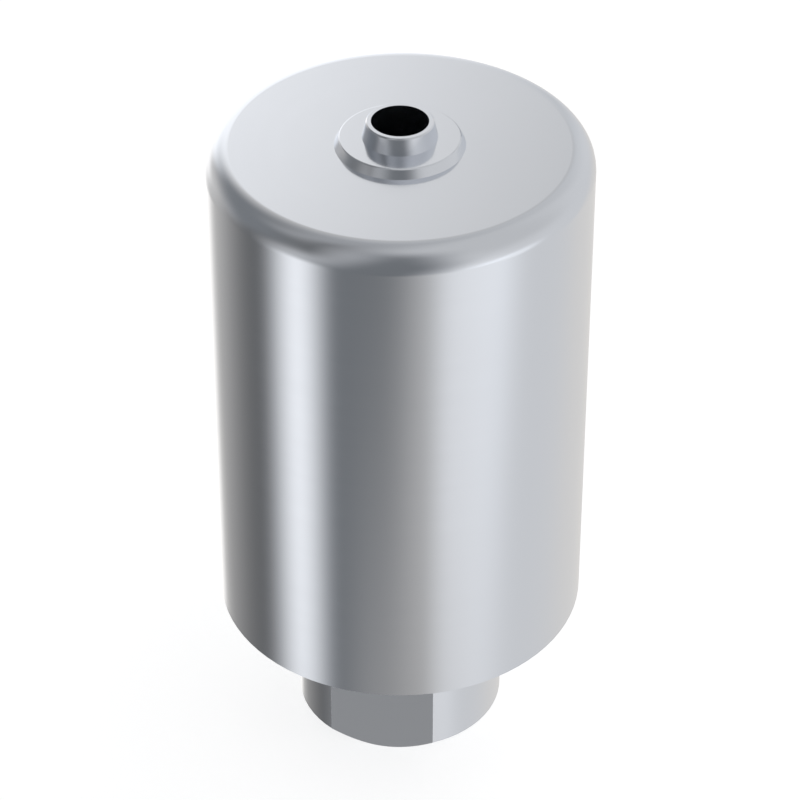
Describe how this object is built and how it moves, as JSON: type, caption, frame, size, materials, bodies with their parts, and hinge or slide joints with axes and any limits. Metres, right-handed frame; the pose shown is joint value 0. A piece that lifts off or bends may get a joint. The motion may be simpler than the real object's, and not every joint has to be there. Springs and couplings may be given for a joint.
{
  "type": "dental abutment blank",
  "caption": "Turned metal cylinder with a rounded shoulder, an implant connection tube on a low platform, a screw channel and a stepped shank with an indexing flat.",
  "frame": {"origin": "centre of the shank's end face, which the blank stands on", "axes": "+Z along the turning axis, from the shank to the implant connection; -Y faces out of the indexing flat"},
  "size_m": [0.014, 0.014, 0.0269],
  "materials": {
    "titanium": "fine-turned satin titanium alloy"
  },
  "bodies": {
    "root": {"abutment_blank": "titanium"}
  },
  "joints": []
}
